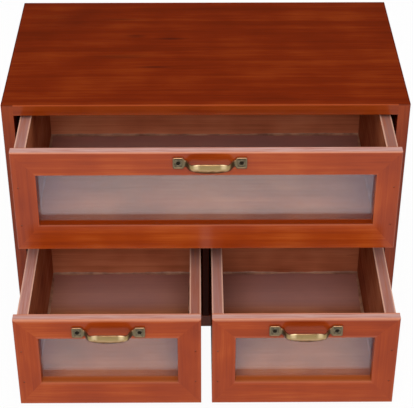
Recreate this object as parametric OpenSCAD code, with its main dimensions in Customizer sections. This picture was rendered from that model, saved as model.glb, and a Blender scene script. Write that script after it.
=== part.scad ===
// Desktop mini drawers: a stained wooden case that holds one wide drawer above two
// half-width ones. Each drawer is a nailed box behind a mitred frame with a clear pane.
// Millimetres. The origin is the centre of the case's underside, +X to the right,
// +Y to the back and +Z up. The drawers are drawn pulled out, as the set is shown.

/* [Case] */
// Width over the two side boards
case_w = 340; // [300:1:400]
// Depth from the front edges to the back
case_d = 190; // [190:1:240]
// Thickness of the side and top boards
board_t = 10; // [8:0.5:12]
// Thickness of the bottom board
bottom_t = 13; // [8:0.5:15]
// Thickness of the shelf under the wide drawer
shelf_t = 18; // [10:0.5:22]
// Thickness of the upright between the two lower drawers
divider_t = 6; // [4:0.5:9]
// Thickness of the back panel
back_t = 4; // [3:0.5:5]

/* [Drawer fronts] */
// Height of the wide drawer's front
top_front_h = 96; // [85:1:120]
// Height of the two lower fronts
low_front_h = 92; // [85:1:120]
// Thickness of the frames
frame_t = 8; // [8:0.5:10]
// Width of the upright frame pieces
stile_w = 19.5; // [16:0.5:24]
// Height of the wide drawer's upper rail
top_upper_rail_h = 22; // [19:0.5:26]
// Height of the wide drawer's lower rail
top_lower_rail_h = 24.5; // [16:0.5:30]
// Height of the lower drawers' upper rails
low_upper_rail_h = 20; // [19:0.5:26]
// Height of the lower drawers' lower rails
low_lower_rail_h = 24; // [16:0.5:30]
// Gap between a front and the case side
side_gap = 2; // [1:0.25:2.5]
// Gap between a lower front and the divider
divider_gap = 1.5; // [1:0.25:3]
// Gap above each front
over_gap = 3; // [1:0.25:4]
// Gap below each front
under_gap = 2; // [1:0.25:3]

/* [Drawer boxes] */
// Depth of a drawer box behind its front
box_d = 175; // [150:1:175]
// Thickness of the drawer side walls
wall_t = 9.5; // [8:0.5:11]
// Thickness of the drawer back walls
back_wall_t = 9; // [7:0.5:11]
// Step from the outer edge of a front to the drawer wall behind it
wall_step = 3; // [2:0.25:4]
// Thickness of the drawer floor panels
floor_t = 3; // [2:0.5:4]
// Height of a floor panel's underside above the edges that the drawer runs on
floor_rise = 3; // [2:0.5:4]
// Depth of the groove in a wall that holds the floor panel
floor_groove = 3; // [2:0.5:4]
// Play between the floor panel and the bottom of its groove
floor_play = 0.3; // [0.1:0.1:0.5]
// Running gap under the drawer walls
run_gap = 0.3; // [0.2:0.05:0.5]

/* [Panes] */
// Thickness of the clear panes
pane_t = 2; // [1.5:0.25:3]
// Depth of the rebate in a wall that holds the pane's edge
pane_rebate = 2; // [1.5:0.25:3]
// Play between the pane's edge and its rebate
pane_play = 0.3; // [0.1:0.1:0.5]
// Distance from the top of a front down to the pane's top edge
pane_drop = 8; // [6:0.5:12]

/* [Pulls] */
// Distance between a pull's two screws
pull_spacing = 51; // [46:1:60]
// Width of a pull's foot
foot_w = 9; // [8:0.5:12]
// Height of a pull's foot
foot_h = 10.5; // [9:0.5:12]
// Thickness of the strip that a pull is bent from
strip_t = 1.8; // [1.6:0.1:2.4]
// Reach of the bow in front of the drawer
pull_reach = 11; // [10:0.5:14]
// Height of the grip at its middle
grip_h = 8.5; // [7:0.5:10]
// Length over which the grip swells, from neck to neck
grip_l = 31; // [24:0.5:36]
// Height of the necks between foot and grip
neck_h = 5.8; // [5:0.2:7]
// Inside radius of the bend at a foot, on the strip's middle
foot_bend_r = 2.5; // [2:0.25:3.5]
// Radius of the shoulder bend, on the strip's middle
shoulder_r = 5; // [4:0.5:8]
// Steepness of a leg, in degrees from the drawer front
leg_angle = 65; // [48:1:68]
// Slope where the shoulder meets the bow, in degrees
bow_angle = 9; // [6:1:14]
// Radius of the rounded face across the bow
crown_r = 11; // [9:0.5:20]
// Radius of the outer corners of a foot
foot_corner_r = 1.2; // [0.6:0.1:2]
// Width of the raised rim round the sunk middle of a foot
foot_rim = 1.1; // [0.9:0.1:1.5]
// Depth of a foot's sunk middle
foot_sink = 0.4; // [0.2:0.1:0.5]
// Drop of the wide drawer's pull from the top of its front
top_pull_drop = 9.5; // [8:0.5:12]
// Drop of the left drawer's pull from the top of its front
left_pull_drop = 12.5; // [8:0.5:14]
// Drop of the right drawer's pull from the top of its front
right_pull_drop = 11.5; // [8:0.5:14]
// How far the wide drawer's pull stands to the right of the middle
top_pull_shift = 3; // [-10:0.5:10]
// How far the left drawer's pull stands to the right of the middle
left_pull_shift = 1; // [-10:0.5:10]

/* [Screws and nails] */
// Diameter of a pull screw's shank
screw_d = 2; // [1.8:0.1:2.4]
// Diameter of a pull screw's countersunk head
screw_head_d = 3.8; // [3.4:0.1:4.4]
// Depth of the head's face below the sunk middle of the foot
screw_sink = 0.15; // [0.1:0.05:0.3]
// Width of the slot in a screw's head
slot_w = 0.7; // [0.5:0.1:0.9]
// Depth of the slot in a screw's head
slot_depth = 0.4; // [0.3:0.1:0.6]
// Turn of the slots from level, in degrees
slot_turn = 35; // [0:5:90]
// Depth that a pull screw goes into the rail
screw_bite = 7; // [5:0.5:7.5]
// Diameter of the nails
nail_d = 1.4; // [1.2:0.1:1.8]
// Length of the nails in the drawers
nail_l = 24; // [20:1:26]
// Length of the nails in the case
case_nail_l = 28; // [24:1:32]
// Depth that a nail is driven below the surface
nail_sink = 0.4; // [0.2:0.1:0.8]
// Play round a nail or screw in its hole
hole_play = 0.1; // [0.05:0.05:0.2]
// Distance from a front's top edge down to the upper nails
nail_drop = 34; // [30:0.5:36]
// Distance from a front's bottom edge up to the lower nails
nail_lift = 24.5; // [22:0.5:30]
// Distance from a front's side edge to its nails
nail_edge = 4.75; // [4.75:0.25:6.5]
// Distance from a case board's front or back edge to its first nail
case_nail_end = 25; // [15:1:40]

/* [Places as shown] */
// How far the wide drawer is pulled out
top_out = 52.5; // [0:0.5:150]
// How far the two lower drawers are pulled out
low_out = 118; // [0:0.5:150]

/* [Hidden] */
$fn = 48;

case_red = "#7c3a1e";
front_red = "#a84a28";
box_red = "#8a4a3c";
panel_brown = "#6b403c";
clear_pane = [0.75, 0.78, 0.8, 0.35];
old_brass = "#a08a50";
dark_steel = "#3a3630";

front_y = -case_d / 2;
back_y = case_d / 2;
inner_x = case_w / 2 - board_t;
low_space_h = under_gap + low_front_h + over_gap;
top_space_h = under_gap + top_front_h + over_gap;
shelf_z = bottom_t + low_space_h;
top_floor_z = shelf_z + shelf_t;
case_h = top_floor_z + top_space_h + board_t;
panel_y = back_y - back_t;
front_x = inner_x - side_gap;
low_inner_x = divider_t / 2 + divider_gap;

// A drawer is a list: the edges of its front, the outsides of its walls, the level it
// runs on, its front's height, its rails' heights, how far it is out, and its pull.
TOP = [-front_x, front_x, -front_x + wall_step, front_x - wall_step, top_floor_z,
    top_front_h, top_upper_rail_h, top_lower_rail_h, top_out, top_pull_shift, top_pull_drop];
LEFT = [-front_x, -low_inner_x, -front_x + wall_step, -low_inner_x, bottom_t,
    low_front_h, low_upper_rail_h, low_lower_rail_h, low_out, left_pull_shift,
    left_pull_drop];
RIGHT = [low_inner_x, front_x, low_inner_x, front_x - wall_step, bottom_t,
    low_front_h, low_upper_rail_h, low_lower_rail_h, low_out, 0, right_pull_drop];

function left_edge(d) = d[0];
function right_edge(d) = d[1];
function wall_left(d) = d[2];
function wall_right(d) = d[3];
function front_bottom(d) = d[4] + under_gap;
function front_top(d) = front_bottom(d) + d[5];
function window_top(d) = front_top(d) - d[6];
function window_bottom(d) = front_bottom(d) + d[7];
function out(d) = d[8];
function pull_x(d) = (d[0] + d[1]) / 2 + d[9];
function pull_z(d) = front_top(d) - d[10];
function wall_bottom(d) = d[4] + run_gap;
function floor_bottom(d) = wall_bottom(d) + floor_rise;
function floor_top(d) = floor_bottom(d) + floor_t;
function nail_heights(d) = [front_bottom(d) + nail_lift, front_top(d) - nail_drop];

box_end = frame_t + box_d;
wall_nail_y = box_end - back_wall_t / 2;

// ---- shared shapes ----

// A block between two opposite corners
module block(low, high) {
    translate(low) cube(high - low);
}

// A straight rod from a point along +X (side = 1) or -X (side = -1)
module rod_x(start, length, d, side) {
    translate(start) rotate([0, 90 * side, 0]) cylinder(d = d, h = length);
}

// A straight rod from a point along +Y
module rod_y(start, length, d) {
    translate(start) rotate([-90, 0, 0]) cylinder(d = d, h = length);
}

// ---- the case ----

// Heights at which nails hold the ends of the three level boards
case_nail_heights = [bottom_t / 2, shelf_z + shelf_t / 2, case_h - board_t / 2];
case_nail_depths = [
    front_y + case_nail_end,
    (front_y + panel_y) / 2,
    panel_y - case_nail_end,
];

// Nails through both sides, or the holes that they sit in
module case_nail_set(d, sink) {
    for (side = [-1, 1], y = case_nail_depths, z = case_nail_heights) {
        rod_x([side * (case_w / 2 - sink), y, z], case_nail_l - sink, d, -side);
    }
}

// Nails through the back panel into the shelf and the divider, or their holes
module back_nail_set(d, sink) {
    for (x = [-inner_x * 2 / 3, -inner_x / 3, inner_x / 3, inner_x * 2 / 3]) {
        rod_y([x, back_y - nail_l, shelf_z + shelf_t / 2], nail_l - sink, d);
    }
    for (z = [bottom_t + low_space_h / 4, bottom_t + low_space_h * 3 / 4]) {
        rod_y([0, back_y - nail_l, z], nail_l - sink, d);
    }
}

module side_board(side) {
    difference() {
        translate([side * (case_w - board_t) / 2, 0, case_h / 2])
            cube([board_t, case_d, case_h], center = true);
        case_nail_set(nail_d + hole_play, -1);
    }
}

module left_side() { color(case_red) side_board(-1); }

module right_side() { color(case_red) side_board(1); }

// A board between the sides, from the front edge to a given depth
module level_board(bottom, top, rear) {
    difference() {
        block([-inner_x, front_y, bottom], [inner_x, rear, top]);
        case_nail_set(nail_d + hole_play, -1);
    }
}

module top_board() { color(case_red) level_board(case_h - board_t, case_h, back_y); }

module bottom_board() { color(case_red) level_board(0, bottom_t, back_y); }

module middle_shelf() {
    color(case_red) difference() {
        level_board(shelf_z, top_floor_z, panel_y);
        back_nail_set(nail_d + hole_play, -1);
    }
}

module centre_divider() {
    color(case_red) difference() {
        block([-divider_t / 2, front_y, bottom_t], [divider_t / 2, panel_y, shelf_z]);
        back_nail_set(nail_d + hole_play, -1);
    }
}

module back_panel() {
    color(panel_brown) difference() {
        block([-inner_x, panel_y, bottom_t], [inner_x, back_y, case_h - board_t]);
        back_nail_set(nail_d + hole_play, -1);
    }
}

module case_nails() { color(dark_steel) case_nail_set(nail_d, nail_sink); }

module back_nails() { color(dark_steel) back_nail_set(nail_d, nail_sink); }

// ---- drawers, each drawn with its front's face at y = 0 and then put in its place ----

module in_place(d) {
    translate([0, front_y - out(d), 0]) children();
}

// Nails through the frame into the wall ends, and through the walls into the back
module nail_set(d, dia, sink) {
    for (z = nail_heights(d)) {
        for (x = [left_edge(d) + nail_edge, right_edge(d) - nail_edge]) {
            rod_y([x, sink, z], nail_l - sink, dia);
        }
        rod_x([wall_left(d) + sink, wall_nail_y, z], nail_l - sink, dia, 1);
        rod_x([wall_right(d) - sink, wall_nail_y, z], nail_l - sink, dia, -1);
    }
}

// A frame piece: its outline in the plane of the front, pushed back by the thickness
module frame_piece(points) {
    translate([0, frame_t, 0]) rotate([90, 0, 0]) linear_extrude(frame_t) polygon(points);
}

module upper_rail(d) {
    color(front_red) in_place(d) difference() {
        frame_piece([
            [left_edge(d), front_top(d)],
            [right_edge(d), front_top(d)],
            [right_edge(d) - stile_w, window_top(d)],
            [left_edge(d) + stile_w, window_top(d)],
        ]);
        at_screws(d) screw_hole();
    }
}

module lower_rail(d) {
    color(front_red) in_place(d) frame_piece([
        [left_edge(d), front_bottom(d)],
        [left_edge(d) + stile_w, window_bottom(d)],
        [right_edge(d) - stile_w, window_bottom(d)],
        [right_edge(d), front_bottom(d)],
    ]);
}

// side = -1 for the left stile and 1 for the right one
module stile(d, side) {
    edge = side < 0 ? left_edge(d) : right_edge(d);
    color(front_red) in_place(d) difference() {
        frame_piece([
            [edge, front_bottom(d)],
            [edge, front_top(d)],
            [edge - side * stile_w, window_top(d)],
            [edge - side * stile_w, window_bottom(d)],
        ]);
        nail_set(d, nail_d + hole_play, -1);
    }
}

module pane(d) {
    reach = pane_rebate - pane_play;
    color(clear_pane) in_place(d) block(
        [wall_left(d) + wall_t - reach, frame_t, floor_top(d)],
        [wall_right(d) - wall_t + reach, frame_t + pane_t, front_top(d) - pane_drop]);
}

// A side wall, with a groove for the floor panel and a rebate for the pane's edge
module side_wall(d, side) {
    outside = side < 0 ? wall_left(d) : wall_right(d);
    inside = outside - side * wall_t;
    color(box_red) in_place(d) difference() {
        block(
            [min(outside, inside), frame_t, wall_bottom(d)],
            [max(outside, inside), box_end, front_top(d)]);
        block(
            [inside - (side < 0 ? floor_groove : 1), frame_t - 1, floor_bottom(d)],
            [inside + (side < 0 ? 1 : floor_groove), box_end + 1, floor_top(d)]);
        block(
            [inside - (side < 0 ? pane_rebate : 1), frame_t - 1, floor_top(d) - floor_t / 2],
            [inside + (side < 0 ? 1 : pane_rebate), frame_t + pane_t, front_top(d) - pane_drop]);
        nail_set(d, nail_d + hole_play, -1);
    }
}

module back_wall(d) {
    color(box_red) in_place(d) difference() {
        block(
            [wall_left(d) + wall_t, box_end - back_wall_t, floor_top(d)],
            [wall_right(d) - wall_t, box_end, front_top(d)]);
        nail_set(d, nail_d + hole_play, -1);
    }
}

module floor_panel(d) {
    reach = floor_groove - floor_play;
    color(panel_brown) in_place(d) block(
        [wall_left(d) + wall_t - reach, frame_t, floor_bottom(d)],
        [wall_right(d) - wall_t + reach, box_end, floor_top(d)]);
}

module drawer_nails(d) {
    color(dark_steel) in_place(d) nail_set(d, nail_d, nail_sink);
}

// ---- the pulls: a brass strip bent into a bow, with a flat foot at each end ----

// Seen from above, the strip's middle line runs from a flat foot through a bend, a
// straight leg and a shoulder to a shallow bow. The leg's length and the bow's radius
// are what makes these meet smoothly. Points are [distance from the pull's middle,
// distance from the drawer front].
foot_inner = pull_spacing / 2 - foot_w / 2;
foot_outer = pull_spacing / 2 + foot_w / 2;
rise = pull_reach - strip_t;
run_left = foot_inner - foot_bend_r * sin(leg_angle)
    - shoulder_r * (sin(leg_angle) - sin(bow_angle));
rise_left = rise - foot_bend_r * (1 - cos(leg_angle))
    - shoulder_r * (cos(bow_angle) - cos(leg_angle));
solve_by = sin(bow_angle) * sin(leg_angle) - cos(leg_angle) * (1 - cos(bow_angle));
bow_r = (run_left * sin(leg_angle) - rise_left * cos(leg_angle)) / solve_by;
bow_centre = [0, rise + strip_t / 2 - bow_r];
shoulder_centre = bow_centre + (bow_r - shoulder_r) * [sin(bow_angle), cos(bow_angle)];
foot_bend_centre = [foot_inner, strip_t / 2 + foot_bend_r];
bend_steps = 6;
half_t = strip_t / 2;

// Points along a bend, from one slope to another. r below 0 is a bend the other way.
function bend(centre, r, from, to) = [for (i = [0:bend_steps])
    let (a = from + (to - from) * i / bend_steps) centre + r * [sin(a), cos(a)]];
function mirrored(points) = [for (i = [len(points) - 1:-1:0]) [-points[i][0], points[i][1]]];

// The half strip in plan. Its front is left full before the bow, for the crown to cut.
front_line = concat(
    [[(bow_r + half_t) * sin(bow_angle), pull_reach + 1]],
    bend(shoulder_centre, shoulder_r + half_t, bow_angle, leg_angle),
    bend(foot_bend_centre, half_t - foot_bend_r, leg_angle, 0),
    [[foot_outer, strip_t]]);
back_line = concat(
    [[foot_outer, 0]],
    bend(foot_bend_centre, -foot_bend_r - half_t, 0, leg_angle),
    bend(shoulder_centre, shoulder_r - half_t, leg_angle, bow_angle));
bow_back = bend(bow_centre, bow_r - half_t, bow_angle, -bow_angle);
half_plan = concat(front_line, back_line);
strip_plan = concat(
    half_plan,
    [for (i = [1:bend_steps - 1]) bow_back[i]],
    mirrored(half_plan));

// Half the strip's height at a distance from the middle: full at the feet, drawn in
// to straight necks and swelling again to the grip.
neck_x = foot_inner - foot_bend_r / 2;
blend_l = foot_bend_r;
edge_steps = 8;
function grip_edge(x) =
    neck_h / 2 + (grip_h - neck_h) / 4 * (1 + cos(180 * pow(2 * x / grip_l, 2)));
function neck_edge(x) =
    neck_h / 2 + (foot_h - neck_h) / 4 * (1 - cos(180 * (x - neck_x) / blend_l));
quarter_edge = concat(
    [for (i = [1:edge_steps]) let (x = grip_l / 2 * i / edge_steps) [x, grip_edge(x)]],
    [for (i = [0:edge_steps / 2])
        let (x = neck_x + blend_l * i / (edge_steps / 2)) [x, neck_edge(x)]],
    [for (a = [90:-30:0]) [
        foot_outer - foot_corner_r * (1 - cos(a)),
        foot_h / 2 - foot_corner_r * (1 - sin(a))]]);
upper_edge = concat(mirrored(quarter_edge), [[0, grip_h / 2]], quarter_edge);
strip_outline = concat(
    upper_edge,
    [for (i = [len(upper_edge) - 1:-1:0]) [upper_edge[i][0], -upper_edge[i][1]]]);

// What the crown leaves off the front of the bow. It reaches to the feet on both sides.
module crown_cut() {
    reach = asin(foot_inner / (bow_r + strip_t));
    translate([0, -bow_centre[1], 0]) rotate([0, 0, -90 - reach])
        rotate_extrude(angle = 2 * reach, $fn = 144) difference() {
            translate([bow_r, -foot_h / 2 - 1]) square([strip_t + 3, foot_h + 2]);
            translate([bow_r + half_t - crown_r, 0]) circle(crown_r, $fn = 180);
        }
}

module strip() {
    difference() {
        intersection() {
            linear_extrude(foot_h + 2, center = true)
                polygon([for (p = strip_plan) [p[0], -p[1]]]);
            translate([0, 1, 0]) rotate([90, 0, 0])
                linear_extrude(pull_reach + 3) polygon(strip_outline);
        }
        crown_cut();
    }
}

// Puts its children at the screws of a drawer's pull, in the foot's sunk middle
module at_screws(d) {
    for (side = [-1, 1]) {
        translate([pull_x(d) + side * pull_spacing / 2, foot_sink - strip_t, pull_z(d)])
            children();
    }
}

// What is pressed down in the middle of a foot, inside its rim
module foot_middle() {
    wide = foot_w - 2 * foot_rim;
    high = foot_h - 2 * foot_rim;
    translate([-wide / 2, -1, -high / 2]) cube([wide, 1, high]);
}

// A countersunk screw that goes in along +Y, or the hole for one with play round it
module screw_body(play) {
    head_h = (screw_head_d - screw_d) / 2;
    translate([0, screw_sink, 0]) rotate([-90, 0, 0]) {
        cylinder(d = screw_d + play, h = strip_t - foot_sink - screw_sink + screw_bite + play);
        cylinder(d1 = screw_head_d + play, d2 = screw_d + play, h = head_h);
    }
}

module screw_hole() {
    screw_body(hole_play);
    rod_y([0, -1, 0], 1 + screw_sink, screw_head_d + hole_play);
}

module pull(d) {
    color(old_brass) in_place(d) difference() {
        translate([pull_x(d), 0, pull_z(d)]) strip();
        at_screws(d) foot_middle();
        at_screws(d) screw_hole();
    }
}

module pull_screws(d) {
    color(dark_steel) in_place(d) at_screws(d) difference() {
        screw_body(0);
        translate([0, screw_sink, 0]) rotate([0, slot_turn, 0])
            cube([screw_head_d + 1, 2 * slot_depth, slot_w], center = true);
    }
}

// ---- the drawers' nodes ----

module top_drawer_upper_rail() { upper_rail(TOP); }
module top_drawer_lower_rail() { lower_rail(TOP); }
module top_drawer_left_stile() { stile(TOP, -1); }
module top_drawer_right_stile() { stile(TOP, 1); }
module top_drawer_pane() { pane(TOP); }
module top_drawer_left_wall() { side_wall(TOP, -1); }
module top_drawer_right_wall() { side_wall(TOP, 1); }
module top_drawer_back_wall() { back_wall(TOP); }
module top_drawer_floor() { floor_panel(TOP); }
module top_drawer_pull() { pull(TOP); }
module top_drawer_pull_screws() { pull_screws(TOP); }
module top_drawer_nails() { drawer_nails(TOP); }

module left_drawer_upper_rail() { upper_rail(LEFT); }
module left_drawer_lower_rail() { lower_rail(LEFT); }
module left_drawer_left_stile() { stile(LEFT, -1); }
module left_drawer_right_stile() { stile(LEFT, 1); }
module left_drawer_pane() { pane(LEFT); }
module left_drawer_left_wall() { side_wall(LEFT, -1); }
module left_drawer_right_wall() { side_wall(LEFT, 1); }
module left_drawer_back_wall() { back_wall(LEFT); }
module left_drawer_floor() { floor_panel(LEFT); }
module left_drawer_pull() { pull(LEFT); }
module left_drawer_pull_screws() { pull_screws(LEFT); }
module left_drawer_nails() { drawer_nails(LEFT); }

module right_drawer_upper_rail() { upper_rail(RIGHT); }
module right_drawer_lower_rail() { lower_rail(RIGHT); }
module right_drawer_left_stile() { stile(RIGHT, -1); }
module right_drawer_right_stile() { stile(RIGHT, 1); }
module right_drawer_pane() { pane(RIGHT); }
module right_drawer_left_wall() { side_wall(RIGHT, -1); }
module right_drawer_right_wall() { side_wall(RIGHT, 1); }
module right_drawer_back_wall() { back_wall(RIGHT); }
module right_drawer_floor() { floor_panel(RIGHT); }
module right_drawer_pull() { pull(RIGHT); }
module right_drawer_pull_screws() { pull_screws(RIGHT); }
module right_drawer_nails() { drawer_nails(RIGHT); }

left_side();
right_side();
top_board();
bottom_board();
middle_shelf();
centre_divider();
back_panel();
case_nails();
back_nails();
top_drawer_upper_rail();
top_drawer_lower_rail();
top_drawer_left_stile();
top_drawer_right_stile();
top_drawer_pane();
top_drawer_left_wall();
top_drawer_right_wall();
top_drawer_back_wall();
top_drawer_floor();
top_drawer_pull();
top_drawer_pull_screws();
top_drawer_nails();
left_drawer_upper_rail();
left_drawer_lower_rail();
left_drawer_left_stile();
left_drawer_right_stile();
left_drawer_pane();
left_drawer_left_wall();
left_drawer_right_wall();
left_drawer_back_wall();
left_drawer_floor();
left_drawer_pull();
left_drawer_pull_screws();
left_drawer_nails();
right_drawer_upper_rail();
right_drawer_lower_rail();
right_drawer_left_stile();
right_drawer_right_stile();
right_drawer_pane();
right_drawer_left_wall();
right_drawer_right_wall();
right_drawer_back_wall();
right_drawer_floor();
right_drawer_pull();
right_drawer_pull_screws();
right_drawer_nails();
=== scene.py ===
"""Looks for a set of desktop mini drawers: a stained and lacquered wooden case with three
drawers behind clear panes, each with a darkened brass bow pull. It stands on a white table."""

import math
import random

import bmesh
import bpy
from mathutils import Matrix, Vector


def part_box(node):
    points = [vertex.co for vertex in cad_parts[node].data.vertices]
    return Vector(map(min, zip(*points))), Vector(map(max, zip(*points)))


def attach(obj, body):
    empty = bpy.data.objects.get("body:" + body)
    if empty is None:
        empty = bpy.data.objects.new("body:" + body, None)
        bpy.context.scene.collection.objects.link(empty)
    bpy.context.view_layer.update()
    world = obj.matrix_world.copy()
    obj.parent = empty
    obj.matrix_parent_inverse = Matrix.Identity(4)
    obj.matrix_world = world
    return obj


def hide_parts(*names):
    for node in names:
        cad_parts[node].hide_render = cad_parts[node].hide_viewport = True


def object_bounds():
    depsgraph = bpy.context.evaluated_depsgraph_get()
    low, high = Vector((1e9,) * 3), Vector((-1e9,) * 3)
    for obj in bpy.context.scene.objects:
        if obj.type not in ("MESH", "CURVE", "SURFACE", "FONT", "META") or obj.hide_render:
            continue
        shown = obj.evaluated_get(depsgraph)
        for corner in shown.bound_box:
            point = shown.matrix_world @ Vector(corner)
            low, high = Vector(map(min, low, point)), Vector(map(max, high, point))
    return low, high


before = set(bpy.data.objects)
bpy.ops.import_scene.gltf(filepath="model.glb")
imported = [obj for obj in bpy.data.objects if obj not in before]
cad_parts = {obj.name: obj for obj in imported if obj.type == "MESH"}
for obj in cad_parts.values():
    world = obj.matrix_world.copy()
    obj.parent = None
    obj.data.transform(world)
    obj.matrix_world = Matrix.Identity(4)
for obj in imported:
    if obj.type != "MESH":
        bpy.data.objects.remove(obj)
cad_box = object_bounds()

MM = 0.001
DRAWERS = ("top_drawer", "left_drawer", "right_drawer")


# ---- colours and nodes ----


def hex_colour(code):
    """An sRGB hex value as linear red, green, blue and alpha."""
    channels = [int(code[i : i + 2], 16) / 255 for i in (1, 3, 5)]
    linear = [c / 12.92 if c <= 0.04045 else ((c + 0.055) / 1.055) ** 2.4 for c in channels]
    return (*linear, 1.0)


def wire(tree, node, inputs):
    """Fills a node's sockets, by name or by number. A socket of another node is linked, and
    anything else is set as a value."""
    for socket, value in inputs.items():
        if isinstance(value, bpy.types.NodeSocket):
            tree.links.new(value, node.inputs[socket])
        else:
            node.inputs[socket].default_value = value


def add(tree, kind, settings=None, inputs=None):
    """Adds a node with its settings and its inputs."""
    made = tree.nodes.new(kind)
    for option, value in (settings or {}).items():
        setattr(made, option, value)
    wire(tree, made, inputs or {})
    return made


def new_material(name):
    material = bpy.data.materials.new(name)
    material.use_nodes = True
    tree = material.node_tree
    return material, tree, tree.nodes["Principled BSDF"]


def colour_stops(ramp, stops):
    """Gives a colour ramp its stops, as (position, sRGB hex), from the first to the last."""
    elements = ramp.color_ramp.elements
    while len(elements) < len(stops):
        elements.new(0.5)
    for element, (position, _) in zip(elements, stops):
        element.position = position
    for element, (_, code) in zip(elements, stops):
        element.color = hex_colour(code)


# ---- boards and their open edges ----


def open_box(name, glued=()):
    """The corners of a board's box. A side that is glued to its neighbour, such as "-x", is
    moved out of reach, so that its edges don't count as open ones."""
    low, high = (Vector(corner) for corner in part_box(name))
    for side in glued:
        axis = "xyz".index(side[1])
        if side[0] == "-":
            low[axis] -= 1
        else:
            high[axis] += 1
    return low, high


def edge_distance(tree, place, box):
    """How far a point of a board's surface is from the nearest open edge: on the surface,
    one of the distances to the box's sides is nothing, and the next one up is this."""
    from_low = add(tree, "ShaderNodeVectorMath", {"operation": "SUBTRACT"}, {0: place, 1: box[0]})
    from_high = add(tree, "ShaderNodeVectorMath", {"operation": "SUBTRACT"}, {0: box[1], 1: place})
    nearer = add(
        tree,
        "ShaderNodeVectorMath",
        {"operation": "MINIMUM"},
        {0: from_low.outputs[0], 1: from_high.outputs[0]},
    )
    x, y, z = add(tree, "ShaderNodeSeparateXYZ", None, {0: nearer.outputs[0]}).outputs
    less = add(tree, "ShaderNodeMath", {"operation": "MINIMUM"}, {0: x, 1: y})
    more = add(tree, "ShaderNodeMath", {"operation": "MAXIMUM"}, {0: x, 1: y})
    other = add(tree, "ShaderNodeMath", {"operation": "MINIMUM"}, {0: more.outputs[0], 1: z})
    middle = add(
        tree, "ShaderNodeMath", {"operation": "MAXIMUM"}, {0: less.outputs[0], 1: other.outputs[0]}
    )
    return middle.outputs[0]


def mark_open_edges(piece, box):
    """Marks the edges that the sandpaper reached, for the rounding that follows, and keeps
    the board's faces flat right up to the holes in them."""
    tree = bpy.data.node_groups.new("open_edges_" + piece.name, "GeometryNodeTree")
    tree.interface.new_socket("Mesh", in_out="INPUT", socket_type="NodeSocketGeometry")
    tree.interface.new_socket("Mesh", in_out="OUTPUT", socket_type="NodeSocketGeometry")
    given = add(tree, "NodeGroupInput")
    place = add(tree, "GeometryNodeInputPosition")
    distance = edge_distance(tree, place.outputs[0], box)
    is_open = add(tree, "ShaderNodeMath", {"operation": "LESS_THAN"}, {0: distance, 1: 0.05 * MM})
    marked = add(
        tree,
        "GeometryNodeStoreNamedAttribute",
        {"data_type": "FLOAT", "domain": "EDGE"},
        {"Geometry": given.outputs[0], "Name": "bevel_weight_edge", "Value": is_open.outputs[0]},
    )
    flat = add(
        tree,
        "GeometryNodeSetShadeSmooth",
        None,
        {"Geometry": marked.outputs[0], "Shade Smooth": False},
    )
    add(tree, "NodeGroupOutput", None, {0: flat.outputs[0]})
    piece.modifiers.new("open_edges", "NODES").node_group = tree


def round_edges(piece, box, width):
    """Eases a board's open edges, by a width in mm, as sandpaper does."""
    weld = piece.modifiers.new("joined_corners", "WELD")
    weld.merge_threshold = 0.005 * MM
    flats = piece.modifiers.new("whole_flats", "DECIMATE")
    flats.decimate_type = "DISSOLVE"
    flats.angle_limit = math.radians(1)
    mark_open_edges(piece, box)
    ease = piece.modifiers.new("eased_edges", "BEVEL")
    ease.width = width * MM
    ease.segments = 2
    ease.limit_method = "WEIGHT"
    ease.use_clamp_overlap = False


# ---- wood ----

# How a board was cut from the plank, as the scale and the turn that lay it with its grain
# along X and its wide face up. Along the grain every pattern is drawn out 25 times.
ALONG = 0.04
ALONG_X_FLAT = ((ALONG, 1, 1), (0, 0, 0))
ALONG_X_UPRIGHT = ((ALONG, 1, 1), (math.pi / 2, 0, 0))
ALONG_Z_FACING = ((1, 1, ALONG), (math.pi / 2, 0, math.pi / 2))
ALONG_Z_SIDEWAYS = ((1, 1, ALONG), (0, math.pi / 2, 0))
ALONG_Y_SIDEWAYS = ((1, ALONG, 1), (0, math.pi / 2, -math.pi / 2))

# Each stain under the lacquer, from its palest place to its darkest
CASE_STAIN = ("#8c3810", "#702206", "#541803")
FRONT_STAIN = ("#b65620", "#983a0e", "#7a260a")
BOX_STAIN = ("#ba7452", "#a05838", "#7a3824")
BACK_STAIN = ("#dc8e66", "#c67450", "#9c5234")
PANEL_STAIN = ("#d08452", "#b86a3e", "#904c2a")
BACK_PANEL_STAIN = ("#8e4a2c", "#763820", "#5a2612")

# Where the stain was sanded away again: on the upward edges, and along every open edge. The paler
# colours there are also painted light: light from above on the upward faces, and a painted
# highlight along the open edges.
BOX_SANDED_AND_LIT, BOX_EDGE_WEAR_AND_HIGHLIGHT = "#9c7068", "#e4b49c"
FRONT_SANDED_AND_LIT, FRONT_EDGE_WEAR_AND_HIGHLIGHT = "#c29a92", "#cc8262"
CASE_EDGE_WEAR_AND_HIGHLIGHT, SIDE_RUBBED = "#a84c24", "#4a180a"
# The dark of the knots, also used for the painted shade on the drawers' floors
KNOT_AND_SHADE = "#3a1208"

# Painted shade on each drawer's ledge under its pane, and the dust at the back of a drawer
TOP_LEDGE_SHADE, LOWER_LEDGE_SHADE = "#7a2a08", "#984a20"
DUST = "#b88a86"

# Side walls whose upper edge came out paler or darker than the others
WALL_TOPS = {
    "top_drawer_right_wall": "#8c5f54",
    "left_drawer_left_wall": "#b0827a",
    "left_drawer_right_wall": "#905f54",
}

# How much more of the stain one rail took than the others
TOOK_MORE = {"right_drawer_upper_rail": 0.07}

# What is left of the lacquer on upward faces
WORN_LACQUER = 0.03

# How far in from the walls a drawer's floor has painted shade, and how far before the dust the
# painted shade behind the front starts to fade and is gone
WALL_SHADE_WIDTH, FRONT_SHADE_FROM, FRONT_SHADE_TO = 50 * MM, 62 * MM, 46 * MM

# How deep under the board the tree's heart lies, and the scale of each pattern, which puts
# rings 5 mm apart, fibres 1.4 mm, streaks 9 mm and the stain's clouds 50 mm. Real fibres
# are finer than the picture can show.
HEART_DEPTH = 70 * MM
RINGS, FIBRES, STREAKS, CLOUDS = 63, 700, 110, 20

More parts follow.
